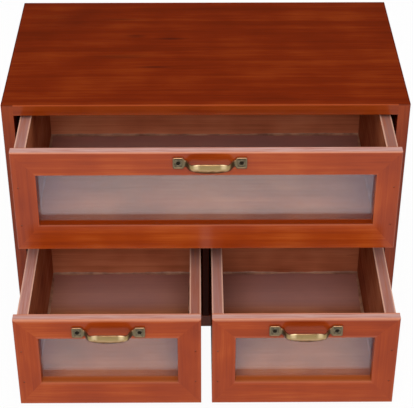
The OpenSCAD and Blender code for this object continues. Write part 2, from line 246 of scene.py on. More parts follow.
# The share of each in how dark the stain looks, and the places of its three colours
RING_SHARE, FIBRE_SHARE, STREAK_SHARE, CLOUD_SHARE = 0.06, 0.2, 0.26, 0.5
PALEST, MIDDLE, DARKEST = 0.34, 0.51, 0.71


def along_grain(tree, place, name, grain):
    """A board's points in its own plank, with the grain along X. The board's name decides
    which part of the plank it is cut from."""
    plank = random.Random(name)
    along, aside = plank.uniform(-1, 1), plank.uniform(-0.04, 0.04)
    cut = (along, aside, -HEART_DEPTH + plank.uniform(-0.01, 0.01))
    scale, turn = grain
    laid = add(
        tree,
        "ShaderNodeMapping",
        None,
        {"Vector": place, "Scale": scale, "Rotation": turn, "Location": cut},
    )
    return laid.outputs[0]


def with_knots(tree, place, streaks, colour, knots):
    """Darkens the wood at its knots, each with the streak that the grain makes on both
    sides of it."""
    for x, y, long, wide, strength in knots:
        away = add(
            tree,
            "ShaderNodeVectorMath",
            {"operation": "SUBTRACT"},
            {0: place, 1: (x * MM, y * MM, 0)},
        )
        away = add(
            tree,
            "ShaderNodeVectorMath",
            {"operation": "MULTIPLY"},
            {0: away.outputs[0], 1: (1 / (long * MM), 1 / (wide * MM), 0)},
        )
        reach = add(tree, "ShaderNodeVectorMath", {"operation": "LENGTH"}, {0: away.outputs[0]})
        reach = add(
            tree,
            "ShaderNodeMath",
            {"operation": "MULTIPLY_ADD"},
            {0: streaks, 1: 1.2, 2: reach.outputs["Value"]},
        )
        near = add(
            tree,
            "ShaderNodeMapRange",
            {"interpolation_type": "SMOOTHSTEP"},
            {0: reach.outputs[0], 1: 0.5, 2: 1.6, 3: strength, 4: 0.0},
        )
        colour = add(
            tree,
            "ShaderNodeMix",
            {"data_type": "RGBA"},
            {0: near.outputs[0], 6: colour, 7: hex_colour(KNOT_AND_SHADE)},
        ).outputs[2]
    return colour


def with_dust_and_shade(tree, place, floor, colour, dust_and_shade):
    """A drawer's floor in use: painted shade along the walls and behind the front, and dust on its
    back part, thinner along the walls. The last argument is where along Y the dust starts, where it
    is thickest, and the share of the painted shade behind the front."""
    dust_from, dust_to, front_shade = dust_and_shade
    low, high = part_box(floor)
    half = (high.x - low.x) / 2
    across, along, _ = add(tree, "ShaderNodeSeparateXYZ", None, {0: place}).outputs
    middle = add(
        tree,
        "ShaderNodeMath",
        {"operation": "SUBTRACT"},
        {0: across, 1: (low.x + high.x) / 2},
    )
    middle = add(tree, "ShaderNodeMath", {"operation": "ABSOLUTE"}, {0: middle.outputs[0]})
    middle = add(
        tree,
        "ShaderNodeMapRange",
        {"interpolation_type": "SMOOTHSTEP"},
        {0: middle.outputs[0], 1: half - WALL_SHADE_WIDTH, 2: half, 3: 1.0, 4: 0.0},
    )
    # Painted shade: darker near the walls, and darker just behind the front
    walls = add(tree, "ShaderNodeMapRange", None, {0: middle.outputs[0], 3: 0.25, 4: 0.0})
    front = add(
        tree,
        "ShaderNodeMapRange",
        {"interpolation_type": "SMOOTHSTEP"},
        {0: along, 1: dust_from - FRONT_SHADE_FROM, 2: dust_from - FRONT_SHADE_TO, 3: front_shade, 4: 0.0},
    )
    stained = add(
        tree,
        "ShaderNodeMath",
        {"operation": "MAXIMUM"},
        {0: walls.outputs[0], 1: front.outputs[0]},
    )
    colour = add(
        tree,
        "ShaderNodeMix",
        {"data_type": "RGBA"},
        {0: stained.outputs[0], 6: colour, 7: hex_colour(KNOT_AND_SHADE)},
    ).outputs[2]
    grey = add(
        tree,
        "ShaderNodeMapRange",
        {"interpolation_type": "SMOOTHSTEP"},
        {0: along, 1: dust_from, 2: dust_to, 3: 0.0, 4: 0.7},
    )
    fallen = add(tree, "ShaderNodeMapRange", None, {0: middle.outputs[0], 3: 0.7, 4: 1.0})
    grey = add(
        tree,
        "ShaderNodeMath",
        {"operation": "MULTIPLY"},
        {0: grey.outputs[0], 1: fallen.outputs[0]},
    )
    return add(
        tree,
        "ShaderNodeMix",
        {"data_type": "RGBA"},
        {0: grey.outputs[0], 6: colour, 7: hex_colour(DUST)},
    ).outputs[2]


def grain_patterns(tree, place, board):
    """A board's four patterns, each from 0 to 1: the rings, fibres and streaks along its
    grain, and the stain's clouds."""
    # This texture's rings are 0.314 / scale apart, and the clouds of the others 1 / scale
    rings = add(
        tree,
        "ShaderNodeTexWave",
        {"wave_type": "RINGS", "rings_direction": "X", "wave_profile": "SAW"},
        {"Vector": board, "Scale": RINGS, "Distortion": 5, "Detail": 2, "Detail Scale": 0.35},
    )
    patterns = [rings.outputs["Fac"]]
    for points, scale, detail, roughness in (
        (board, FIBRES, 3, 0.6),
        (board, STREAKS, 3, 0.55),
        (place, CLOUDS, 2, 0.5),
    ):
        noise = add(
            tree,
            "ShaderNodeTexNoise",
            None,
            {"Vector": points, "Scale": scale, "Detail": detail, "Roughness": roughness},
        )
        patterns.append(noise.outputs["Fac"])
    return patterns


def stain_colour(tree, patterns, cloudy, extra, stain):
    """The stain's colour. It is the darker, the higher the sum of the patterns' shares and
    of the extra stain that the board took."""
    depth = 0.0
    for pattern, share in zip(patterns, (RING_SHARE, FIBRE_SHARE, STREAK_SHARE, cloudy)):
        depth = add(
            tree, "ShaderNodeMath", {"operation": "MULTIPLY_ADD"}, {0: pattern, 1: share, 2: depth}
        ).outputs[0]
    depth = add(tree, "ShaderNodeMath", {"operation": "ADD"}, {0: depth, 1: extra})
    shade = add(tree, "ShaderNodeValToRGB", None, {0: depth.outputs[0]})
    colour_stops(shade, tuple(zip((PALEST, MIDDLE, DARKEST), stain)))
    return shade.outputs["Color"]


def with_upward_colour(tree, top, fibres, colour, upward):
    """Gives a board's upward faces a colour of their own: a paler one on the tops, from sanding and
    painted light from above, and a darker one on the ledges, painted shade. upward is that colour
    and the share of it that the pores show."""
    own, in_pores = upward
    pores = add(tree, "ShaderNodeMapRange", None, {0: fibres, 1: 0.4, 2: 0.75, 3: 1.0, 4: in_pores})
    bare = add(tree, "ShaderNodeMath", {"operation": "MULTIPLY"}, {0: top, 1: pores.outputs[0]})
    return add(
        tree,
        "ShaderNodeMix",
        {"data_type": "RGBA"},
        {0: bare.outputs[0], 6: colour, 7: hex_colour(own)},
    ).outputs[2]


def rubbed_and_highlit_edges(tree, place, streaks, box, rub, rub_width):
    """How much of the stain is rubbed off along the open edges, which is also a painted highlight
    there: full at the edge and gone two or three millimetres in, with gaps, and strongest along the
    top."""
    wear_and_highlight = add(
        tree,
        "ShaderNodeMath",
        {"operation": "MULTIPLY_ADD"},
        {0: streaks, 1: 0.8 * MM, 2: edge_distance(tree, place, box)},
    )
    wear_and_highlight = add(
        tree,
        "ShaderNodeMapRange",
        {"interpolation_type": "SMOOTHSTEP"},
        {0: wear_and_highlight.outputs[0], 1: 0.7 * MM, 2: rub_width * MM, 3: rub, 4: 0.0},
    )
    height = add(tree, "ShaderNodeSeparateXYZ", None, {0: place})
    handled = add(
        tree,
        "ShaderNodeMapRange",
        None,
        {0: height.outputs[2], 1: box[1].z - 4 * MM, 2: box[1].z - 2 * MM, 3: 0.3, 4: 1.0},
    )
    wear_and_highlight = add(
        tree,
        "ShaderNodeMath",
        {"operation": "MULTIPLY"},
        {0: wear_and_highlight.outputs[0], 1: handled.outputs[0]},
    )
    return wear_and_highlight.outputs[0]


def stained_softwood(
    name,
    grain,
    stain,
    box,
    coat,
    rubbed,
    rub,
    rub_width=1.9,
    upward=None,
    knots=(),
    cloudy=CLOUD_SHARE,
    took=0.0,
    paler_front=0.0,
    dust_and_shade=None,
    runs_on=None,
):
    """Flat-sawn softwood that was stained red-brown and brushed with clear lacquer. The eye gets
    soft stripes of late wood along the board, fine darker fibres between them, cloudy places where
    the stain took unevenly, and the lacquer's gloss over it. Under the lacquer the wood has no
    gloss of its own, and on upward faces use has worn it thin. Fine paper has rubbed the open edges
    paler, up to the share rub and in a band of rub_width, in mm, and the paler band is also a
    painted highlight. A board that took more of the stain than the others is darker by the share
    took, and on the centre divider this darkness is painted shade. Faces turned to the front are
    paler by the share paler_front, which is painted light. The grain of another board, runs_on, can
    run on over an upward end."""
    material, tree, shader = new_material(name)
    place = add(tree, "ShaderNodeTexCoord").outputs["Object"]
    facing = add(tree, "ShaderNodeNewGeometry")
    _, back, up = add(tree, "ShaderNodeSeparateXYZ", None, {0: facing.outputs["Normal"]}).outputs
    top = add(tree, "ShaderNodeMapRange", None, {0: up, 1: 0.3, 2: 0.6, 3: 0.0, 4: 1.0}).outputs[0]
    board = along_grain(tree, place, name, grain)
    if runs_on:
        board = add(
            tree,
            "ShaderNodeMix",
            {"data_type": "VECTOR"},
            {0: top, 4: board, 5: along_grain(tree, place, runs_on, ALONG_X_FLAT)},
        ).outputs[1]
    patterns = grain_patterns(tree, place, board)
    _, fibres, streaks, _ = patterns

    # The clouds' share changes how uneven the board is, and not how dark it is as a whole
    took += (CLOUD_SHARE - cloudy) / 2
    # Faces turned to the front are paler by paler_front: painted light
    extra = add(
        tree,
        "ShaderNodeMapRange",
        None,
        {0: back, 1: -0.3, 2: -0.6, 3: took, 4: took - paler_front},
    )
    colour = stain_colour(tree, patterns, cloudy, extra.outputs[0], stain)
    colour = with_knots(tree, place, streaks, colour, knots)
    # Dust on a floor's back part, and painted shade along its walls and behind its front
    if dust_and_shade:
        colour = with_dust_and_shade(tree, place, name.removeprefix("stained_"), colour, dust_and_shade)
    if upward:
        colour = with_upward_colour(tree, top, fibres, colour, upward)
    # Paler along the open edges: sanding, and a painted highlight
    wear_and_highlight = rubbed_and_highlit_edges(tree, place, streaks, box, rub, rub_width)
    colour = add(
        tree, "ShaderNodeMix", {"data_type": "RGBA"}, {0: wear_and_highlight, 6: colour, 7: hex_colour(rubbed)}
    )

    lacquer = add(
        tree,
        "ShaderNodeMapRange",
        None,
        {0: top, 1: 0.0, 2: 1.0, 3: coat, 4: min(coat, WORN_LACQUER)},
    )
    bump = add(
        tree,
        "ShaderNodeBump",
        {"invert": True},
        {"Strength": 0.2, "Distance": 0.1 * MM, "Height": fibres},
    )
    rough = add(tree, "ShaderNodeMapRange", None, {0: fibres, 1: 0.3, 2: 0.7, 3: 0.35, 4: 0.55})
    wire(
        tree,
        shader,
        {
            "Base Color": colour.outputs[2],
            "Roughness": rough.outputs[0],
            "Specular IOR Level": 0.0,
            "Coat Weight": lacquer.outputs[0],
            "Coat Roughness": 0.17,
            "Coat IOR": 1.5,
            "Normal": bump.outputs[0],
        },
    )
    return material


# ---- other finishes ----

# How many clouds of each pattern there are to a metre: wipe marks 55 mm long on the panes,
# tarnish in spots of 4 mm and scratches 0.6 mm apart on the brass, which are coarser than
# real ones so that they show, 2 mm spots in the sunk feet, 1.1 mm ones on the steel, and
# lumps of 11 mm in the glue
WIPES, TARNISH, SCRATCHES, FOOT_SPOTS, STEEL_SPOTS, GLUE_LUMPS = 18, 260, 1600, 500, 900, 90

# How much of a white veil each pane has, and the violet painted into its upper corners as a
# reflection
HAZE = {"top_drawer": 0.85, "left_drawer": 0.35, "right_drawer": 0.35}
VIOLET_CORNER_REFLECTION = "#ceb8d4"


def pane_tint(tree, pane):
    """What a pane lets through: nearly white, with faint wipe marks, and more violet towards the
    upper corners, where the violet is a painted reflection."""
    place = add(tree, "ShaderNodeTexCoord").outputs["Object"]
    wipes = add(tree, "ShaderNodeTexNoise", None, {"Vector": place, "Scale": WIPES, "Detail": 3})
    tint = add(tree, "ShaderNodeValToRGB", None, {0: wipes.outputs["Fac"]})
    colour_stops(tint, ((0.3, "#efe8ec"), (0.7, "#fbf7f8")))
    low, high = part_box(pane)
    across, _, height = add(tree, "ShaderNodeSeparateXYZ", None, {0: place}).outputs
    aside = add(
        tree,
        "ShaderNodeMath",
        {"operation": "SUBTRACT"},
        {0: across, 1: (low.x + high.x) / 2},
    )
    aside = add(
        tree,
        "ShaderNodeMath",
        {"operation": "DIVIDE"},
        {0: aside.outputs[0], 1: (high.x - low.x) / 2},
    )
    aside = add(tree, "ShaderNodeMath", {"operation": "POWER"}, {0: aside.outputs[0], 1: 2.0})
    raised = add(
        tree, "ShaderNodeMapRange", None, {0: height, 1: low.z, 2: high.z, 3: 0.0, 4: 0.6}
    )
    corner = add(
        tree, "ShaderNodeMath", {"operation": "ADD"}, {0: aside.outputs[0], 1: raised.outputs[0]}
    )
    corner = add(
        tree,
        "ShaderNodeMapRange",
        {"interpolation_type": "SMOOTHSTEP"},
        {0: corner.outputs[0], 1: 0.5, 2: 1.5, 3: 0.0, 4: 1.0},
    )
    return add(
        tree,
        "ShaderNodeMix",
        {"data_type": "RGBA"},
        {0: corner.outputs[0], 6: tint.outputs["Color"], 7: hex_colour(VIOLET_CORNER_REFLECTION)},
    ).outputs[2]


def clear_acrylic(drawer, haze):
    """A clear cast acrylic sheet, hazed by handling. The eye gets the drawer's inside
    through it, under a white veil from the bright room and the table, the stronger the more
    haze there is. The lamps shine through it into the drawer."""
    material, tree, shader = new_material("clear_cast_acrylic_" + drawer)
    wire(
        tree,
        shader,
        {
            "Base Color": pane_tint(tree, drawer + "_pane"),
            "Roughness": 0.02,
            "IOR": 1.49,
            "Transmission Weight": 0.96,
            "Coat Weight": haze,
            "Coat IOR": 1.5,
            "Coat Roughness": 0.03,
        },
    )
    path = add(tree, "ShaderNodeLightPath")
    let_through = add(tree, "ShaderNodeBsdfTransparent", None, {"Color": hex_colour("#e8e2e2")})
    mix = add(
        tree,
        "ShaderNodeMixShader",
        None,
        {0: path.outputs["Is Shadow Ray"], 1: shader.outputs[0], 2: let_through.outputs[0]},
    )
    wire(tree, tree.nodes["Material Output"], {"Surface": mix.outputs[0]})
    return material


# The brass on the grip and on the feet, from places that turn down to ones that turn up: painted
# shade where it turns down, a painted reflection on the flat and a painted highlight where it turns
# up
GRIP_BRASS = (
    (0.2, "#1c140c"),
    (0.37, "#38200f"),
    (0.405, "#8a6644"),
    (0.445, "#bc9a74"),
    (0.5, "#a88e60"),
    (0.6, "#9c845a"),
    (0.7, "#947852"),
    (0.9, "#6c4c34"),
)
FOOT_BRASS = (
    (0.2, "#2a261c"),
    (0.4, "#5e503a"),
    (0.5, "#786a52"),
    (0.62, "#927a5c"),
    (0.8, "#9c7858"),
)
# The painted highlight on the bow's shoulders, and the painted shade on its legs
SHOULDER_HIGHLIGHT, LEG_SHADE = "#e2c89c", "#4c3c24"

# How far the painted highlights on the bow's shoulders are from its middle, and how far out from
# the drawer front the grip's painted colours start to take over from the feet's and have taken over
SHOULDERS_AT, GRIP_COLOURS_FROM, GRIP_COLOURS_FULL = 11 * MM, 2.5 * MM, 5 * MM


def bow_highlight_and_shade(tree, across, side, up, colour):
    """The bow's brass, by how far a place is from its middle and turns aside or up. The two
    shoulders get a painted highlight, above all on top. The legs turn aside and get painted shade."""
    offset = add(tree, "ShaderNodeMath", {"operation": "ABSOLUTE"}, {0: across})
    shoulder = add(
        tree,
        "ShaderNodeMath",
        {"operation": "SUBTRACT"},
        {0: offset.outputs[0], 1: SHOULDERS_AT},
    )
    shoulder = add(tree, "ShaderNodeMath", {"operation": "ABSOLUTE"}, {0: shoulder.outputs[0]})
    shoulder = add(
        tree,
        "ShaderNodeMapRange",
        {"interpolation_type": "SMOOTHSTEP"},
        {0: shoulder.outputs[0], 1: 0.5 * MM, 2: 3.5 * MM, 3: 0.75, 4: 0.0},
    )
    above = add(
        tree,
        "ShaderNodeMapRange",
        {"interpolation_type": "SMOOTHSTEP"},
        {0: up, 1: -0.12, 2: 0.1, 3: 0.0, 4: 1.0},
    )
    shoulder = add(
        tree,
        "ShaderNodeMath",
        {"operation": "MULTIPLY"},
        {0: shoulder.outputs[0], 1: above.outputs[0]},
    )
    # The shoulders' painted highlight
    rubbed = add(
        tree,
        "ShaderNodeMix",
        {"data_type": "RGBA"},
        {0: shoulder.outputs[0], 6: colour, 7: hex_colour(SHOULDER_HIGHLIGHT)},
    )
    aside = add(tree, "ShaderNodeMath", {"operation": "ABSOLUTE"}, {0: side})
    aside = add(
        tree,
        "ShaderNodeMapRange",
        {"interpolation_type": "SMOOTHSTEP"},
        {0: aside.outputs[0], 1: 0.45, 2: 0.8, 3: 0.0, 4: 0.8},
    )
    return add(
        tree,
        "ShaderNodeMix",
        {"data_type": "RGBA"},
        {0: aside.outputs[0], 6: rubbed.outputs[2], 7: hex_colour(LEG_SHADE)},
    ).outputs[2]


def aged_brass(drawer):
    """Brass strip, stamped and bent and darkened in a bath. Its colours are painted by how each
    place faces: the eye gets a painted highlight as a bright line along the upper edge and as cream
    metal on the two shoulders, a painted reflection as olive brass on the flat of the grip, and
    painted shade on the dark brown legs and underside."""
    material, tree, shader = new_material("aged_stamped_brass_" + drawer)
    low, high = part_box(drawer + "_pull")
    place = add(tree, "ShaderNodeTexCoord").outputs["Object"]
    cloud = add(tree, "ShaderNodeTexNoise", None, {"Vector": place, "Scale": TARNISH, "Detail": 4})
    drawn = add(tree, "ShaderNodeMapping", None, {"Vector": place, "Scale": (0.1, 1, 1)})
    scratches = add(
        tree,
        "ShaderNodeTexNoise",
        None,
        {"Vector": drawn.outputs[0], "Scale": SCRATCHES, "Detail": 2},
    )
    facing = add(tree, "ShaderNodeNewGeometry")
    side, _, up = add(tree, "ShaderNodeSeparateXYZ", None, {0: facing.outputs["Normal"]}).outputs
    # Painted shade, reflection and highlight by how far a place turns up or down, broken up by
    # scratches
    turned = add(
        tree,
        "ShaderNodeMath",
        {"operation": "MULTIPLY_ADD"},
        {0: scratches.outputs["Fac"], 1: 0.3, 2: up},
    )
    turned = add(tree, "ShaderNodeMapRange", None, {0: turned.outputs[0], 1: -0.85, 2: 1.15})
    grip = add(tree, "ShaderNodeValToRGB", None, {0: turned.outputs[0]})
    colour_stops(grip, GRIP_BRASS)
    foot = add(tree, "ShaderNodeValToRGB", None, {0: turned.outputs[0]})
    colour_stops(foot, FOOT_BRASS)
    across, out, _ = add(tree, "ShaderNodeSeparateXYZ", None, {0: place}).outputs
    offset = add(
        tree,
        "ShaderNodeMath",
        {"operation": "SUBTRACT"},
        {0: across, 1: (low.x + high.x) / 2},
    )
    bow = bow_highlight_and_shade(tree, offset.outputs[0], side, up, grip.outputs["Color"])
    # The feet's painted colours give way to the grip's a little way out from the drawer front
    on_grip = add(
        tree,
        "ShaderNodeMapRange",
        {"interpolation_type": "SMOOTHSTEP"},
        {0: out, 1: high.y - GRIP_COLOURS_FROM, 2: high.y - GRIP_COLOURS_FULL, 3: 0.0, 4: 1.0},
    )
    colour = add(
        tree,
        "ShaderNodeMix",
        {"data_type": "RGBA"},
        {0: on_grip.outputs[0], 6: foot.outputs["Color"], 7: bow},
    )
    rough = add(
        tree, "ShaderNodeMapRange", None, {0: cloud.outputs["Fac"], 1: 0.3, 2: 0.7, 3: 0.4, 4: 0.26}
    )
    wire(
        tree,
        shader,
        {"Base Color": colour.outputs[2], "Metallic": 1.0, "Roughness": rough.outputs[0]},
    )
    return material


def spotted(name, spots, detail, shades, metallic=0.0):
    """A dull finish with small spots, in shades from the darker to the paler."""
    material, tree, shader = new_material(name)
    place = add(tree, "ShaderNodeTexCoord").outputs["Object"]
    cloud = add(
        tree, "ShaderNodeTexNoise", None, {"Vector": place, "Scale": spots, "Detail": detail}
    )
    shade = add(tree, "ShaderNodeValToRGB", None, {0: cloud.outputs["Fac"]})
    colour_stops(shade, shades)
    wire(
        tree,
        shader,
        {"Base Color": shade.outputs["Color"], "Metallic": metallic, "Roughness": 0.5},
    )
    return material


def blackened_steel():
    """Turned steel screws with a black oxide skin. The eye gets small dark dots."""
    return spotted("blackened_steel", STEEL_SPOTS, 3, ((0.3, "#1c1612"), (0.7, "#3e342a")), 1.0)


def stained_nails():
    """Drawn steel nails, driven below the surface and stained over with the wood. The eye
    gets small dots, a little darker than the wood round them."""
    shades = ((0.3, "#5c2812"), (0.7, "#82401e"))
    return spotted("stained_over_steel_nails", STEEL_SPOTS, 3, shades)


def darkened_brass():
    """The pulls' brass in the feet's sunk middles, where the bath was never rubbed off. The
    eye gets a dull green-grey."""
    shades = ((0.35, "#5a5040"), (0.7, "#827660"))
    return spotted("bath_darkened_brass", FOOT_SPOTS, 4, shades, 1.0)


def dried_glue():
    """Wood glue that was squeezed out along the floor panel and dried. The eye gets a thin
    uneven line, paler than the wood."""
    return spotted("dried_wood_glue", GLUE_LUMPS, 4, ((0.35, "#885640"), (0.65, "#be8c6e")))


# ---- dressing the solids ----


def dress(name, material):
    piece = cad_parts[name]
    piece.data.materials.clear()
    piece.data.materials.append(material)
    return piece


def dress_case():
    # Place, length, width and strength of the knots and dark streaks in the top, in mm
    knots = (
        (-31, 22, 22, 3.5, 0.75),
        (-62, 27, 14, 6, 0.5),
        (-44, -30, 20, 3, 0.6),
        (-75, -12, 34, 6, 0.35),
        (-78, 60, 30, 4, 0.35),
        (-125, 60, 55, 30, 0.22),
    )
    for name, grain, glued in (
        ("left_side", ALONG_Z_SIDEWAYS, ("+x",)),
        ("right_side", ALONG_Z_SIDEWAYS, ("-x",)),
        ("top_board", ALONG_X_FLAT, ("-x", "+x")),
        ("bottom_board", ALONG_X_FLAT, ("-x", "+x")),
        ("middle_shelf", ALONG_X_FLAT, ("-x", "+x", "+y")),
        ("centre_divider", ALONG_Y_SIDEWAYS, ("-z", "+z", "+y")),
    ):
        box = open_box(name, glued)
        is_side, is_inner = name.endswith("side"), name == "centre_divider"
        wood = stained_softwood(
            "stained_" + name,
            grain,
            CASE_STAIN,
            box,
            coat=0.1 if is_inner else 0.45,
            rubbed=SIDE_RUBBED if is_side else CASE_EDGE_WEAR_AND_HIGHLIGHT,
            rub=0.5,
            cloudy=0.25,
            knots=knots if name == "top_board" else (),
            # The centre divider is darker by took: painted shade for the dark slot between the
            # lower drawers
            took=0.3 if is_inner else 0.0,
            # The case boards' faces turned to the front are paler, painted light
            paler_front=0.0 if is_inner else 0.12,
            runs_on="stained_top_board" if is_side else None,
        )
        round_edges(dress(name, wood), box, 0.6)
    wood = stained_softwood(
        "stained_back_panel",
        ALONG_X_UPRIGHT,
        BACK_PANEL_STAIN,
        open_box("back_panel", ("-x", "+x", "-z", "+z")),
        coat=0.1,
        rubbed=CASE_EDGE_WEAR_AND_HIGHLIGHT,
        rub=0.0,
    )
    dress("back_panel", wood)


def dress_front(drawer):
    is_wide = drawer == "top_drawer"
    # The ledge under the pane gets a darker colour of its own, painted shade
    ledge = TOP_LEDGE_SHADE if is_wide else LOWER_LEDGE_SHADE
    for part, grain, glued in (
        ("upper_rail", ALONG_X_UPRIGHT, ("-x", "+x")),
        ("lower_rail", ALONG_X_UPRIGHT, ("-x", "+x")),
        ("left_stile", ALONG_Z_FACING, ("-z", "+z")),
        ("right_stile", ALONG_Z_FACING, ("-z", "+z")),
    ):
        name = drawer + "_" + part
        box = open_box(name, glued)
        wood = stained_softwood(
            "stained_" + name,
            grain,
            FRONT_STAIN,
            box,
            coat=0.65 if is_wide else 0.5,
            rubbed=FRONT_EDGE_WEAR_AND_HIGHLIGHT,
            rub=0.8 if part == "upper_rail" else 0.2,
            rub_width=1.9 if is_wide else 3.4,
            # The upper rail's top is paler, sanded and painted light from above; the lower rail's
            # ledge is darker, painted shade
            upward={"upper_rail": (FRONT_SANDED_AND_LIT, 0.35), "lower_rail": (ledge, 1.0)}.get(part),
            cloudy=0.32,
            took=TOOK_MORE.get(name, 0.05 if part.endswith("stile") else 0.0),
        )
        round_edges(dress(name, wood), box, 0.5)


def dress_walls(drawer):
    for part, grain, glued in (
        ("left_wall", ALONG_Y_SIDEWAYS, ("-y",)),
        ("right_wall", ALONG_Y_SIDEWAYS, ("-y",)),
        ("back_wall", ALONG_X_UPRIGHT, ("-x", "+x", "-z")),
    ):
        name = drawer + "_" + part
        box = open_box(name, glued)
        wood = stained_softwood(
            "stained_" + name,
            grain,
            BACK_STAIN if part == "back_wall" else BOX_STAIN,
            box,
            coat=0.1,
            rubbed=BOX_EDGE_WEAR_AND_HIGHLIGHT,
            rub=0.7,
            rub_width=2.1,
            # The walls' tops are paler, sanded and painted light from above
            upward=(WALL_TOPS.get(name, BOX_SANDED_AND_LIT), 0.35),
        )
        round_edges(dress(name, wood), box, 0.5)


def dress_floor(drawer):
    name = drawer + "_floor"
    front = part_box(name)[0].y
    # The floor's front part gets painted shade, strongest in the wide top drawer
    wood = stained_softwood(
        "stained_" + name,
        ALONG_X_FLAT,
        PANEL_STAIN,
        open_box(name, ("-x", "+x")),
        coat=0.1,
        rubbed=BOX_EDGE_WEAR_AND_HIGHLIGHT,
        rub=0.0,
        dust_and_shade=(front + 100 * MM, front + 125 * MM, 0.45 if drawer == "top_drawer" else 0.1),
    )
    dress(name, wood)


# ---- the pulls ----

# The bow's line in plan, in mm from its middle and from the drawer front, as in the solids
PULL_SPACING, FOOT_W, FOOT_H, STRIP_T = 51.0, 9.0, 10.5, 1.8
REACH, GRIP_H, GRIP_L, NECK_H, CROWN_R = 11.0, 8.5, 31.0, 5.8, 11.0
FOOT_BEND_R, SHOULDER_R, LEG_ANGLE, BOW_ANGLE = 2.5, 5.0, math.radians(65), math.radians(9)
FOOT_RIM, FOOT_SINK, CORNER_R = 1.1, 0.4, 1.2
HEAD_R, SHANK_R, HEAD_H, ROUND_R = 1.95, 1.05, 0.9, 2.6
FOOT_INNER = (PULL_SPACING - FOOT_W) / 2

# Where the strip's rings stand along a foot, from its inner end. The four steps between
# MIDDLE_FROM and MIDDLE_TO are its sunk middle.
MIDDLE_FROM, MIDDLE_TO = FOOT_RIM + 0.1, FOOT_W - FOOT_RIM - 0.1
FOOT_STEPS = (
    [0.5, FOOT_RIM]
    + [MIDDLE_FROM + (MIDDLE_TO - MIDDLE_FROM) * i / 4 for i in range(5)]
    + [FOOT_W - FOOT_RIM, FOOT_W - 0.6, FOOT_W - 0.25, FOOT_W]
)
# The strip's front, from its lower edge to its upper one, as shares of its half height.
# In the sunk middle, the points from SUNK_FROM to SUNK_TO go down.
ACROSS = (-1, -0.94, -0.81, -0.78, -0.39, 0, 0.39, 0.78, 0.81, 0.94, 1)
SUNK_FROM, SUNK_TO = 3, 7


def bow_line():
    """Half the strip's middle line, as (x, y, slope) from the middle of the bow to the end
    of the foot: a shallow bow, a shoulder, a straight leg, a bend and the flat foot."""
    rise = REACH - STRIP_T
    s1, c1 = math.sin(LEG_ANGLE), math.cos(LEG_ANGLE)
    s2, c2 = math.sin(BOW_ANGLE), math.cos(BOW_ANGLE)
    run_left = FOOT_INNER - FOOT_BEND_R * s1 - SHOULDER_R * (s1 - s2)
    rise_left = rise - FOOT_BEND_R * (1 - c1) - SHOULDER_R * (c2 - c1)
    bow_r = (run_left * s1 - rise_left * c1) / (s2 * s1 - c1 * (1 - c2))
    line = []
    bow_y = rise + STRIP_T / 2 - bow_r
    for i in range(9):
        a = BOW_ANGLE * i / 8
        line.append((bow_r * math.sin(a), bow_y + bow_r * math.cos(a), a))
    x, y = (bow_r - SHOULDER_R) * s2, bow_y + (bow_r - SHOULDER_R) * c2
    for i in range(1, 9):
        a = BOW_ANGLE + (LEG_ANGLE - BOW_ANGLE) * i / 8
        line.append((x + SHOULDER_R * math.sin(a), y + SHOULDER_R * math.cos(a), a))
    x, y = FOOT_INNER, STRIP_T / 2 + FOOT_BEND_R
    for i in range(9):
        a = LEG_ANGLE * (1 - i / 8)
        line.append((x - FOOT_BEND_R * math.sin(a), y - FOOT_BEND_R * math.cos(a), a))
    return line + [(FOOT_INNER + step, STRIP_T / 2, 0.0) for step in FOOT_STEPS]


def strip_half_height(x):
    """Half the strip's height: full at the foot, drawn in to a straight neck, and swelling
    again to the grip."""
    neck_x = FOOT_INNER - FOOT_BEND_R / 2
    if x < GRIP_L / 2:
        return NECK_H / 2 + (GRIP_H - NECK_H) / 4 * (1 + math.cos(math.pi * (2 * x / GRIP_L) ** 2))
    if x < neck_x:
        return NECK_H / 2
    if x < neck_x + FOOT_BEND_R:
        blend = (1 - math.cos(math.pi * (x - neck_x) / FOOT_BEND_R)) / 2
        return NECK_H / 2 + (FOOT_H - NECK_H) / 2 * blend
    into = x - (FOOT_INNER + FOOT_W - CORNER_R)
    if into > 0:
        return FOOT_H / 2 - CORNER_R + math.sqrt(max(CORNER_R**2 - into**2, 0.0))
    return FOOT_H / 2


def strip_section(half_height, crown, sunk):
    """The strip's cross-section as (depth, height): flat behind, and in front crowned on
    the grip, or sunk inside a rim on the foot. crown is a share, from 0 to 1. The front
    edges are rolled over."""
    front = []
    for i, s in enumerate(ACROSS):
        height = s * half_height
        rolled = 0.5 * STRIP_T - (0.4, 0.1)[abs(s) < 1] * (abs(s) > 0.9)
        rounded = crown * (CROWN_R - math.sqrt(CROWN_R**2 - height**2))
        front.append((rolled - rounded - sunk * (SUNK_FROM <= i <= SUNK_TO), height))
    back = [(-0.5 * STRIP_T, s * half_height) for s in (1, 0.5, 0, -0.5, -1)]
    return front + back


def countersunk_middle(mesh, edge, centre, outward):
    """Closes a foot's sunk middle round its screw hole: from the square edge of 16 corners
    to the countersink's rim, and down the cone to the shank's hole."""
    angles = [math.atan2(v.co.z - centre.z, v.co.x - centre.x) for v in edge]
    rounds = [edge]
    for radius, depth in (
        (ROUND_R, 0),
        (HEAD_R + 0.05, 0),
        (HEAD_R, 0.1),
        (SHANK_R, HEAD_H),
        (SHANK_R, HEAD_H + 0.3),
    ):
        rounds.append(
            [
                mesh.verts.new(
                    centre
                    + Vector((radius * math.cos(a), 0, radius * math.sin(a))) * MM
                    - outward * depth * MM
                )
                for a in angles
            ]
        )
    for outer, inner in zip(rounds, rounds[1:]):
        for i in range(len(edge)):
            j = (i + 1) % len(edge)
            face = mesh.faces.new((outer[i], outer[j], inner[j], inner[i]))
            face.smooth = True
            face.material_index = 1


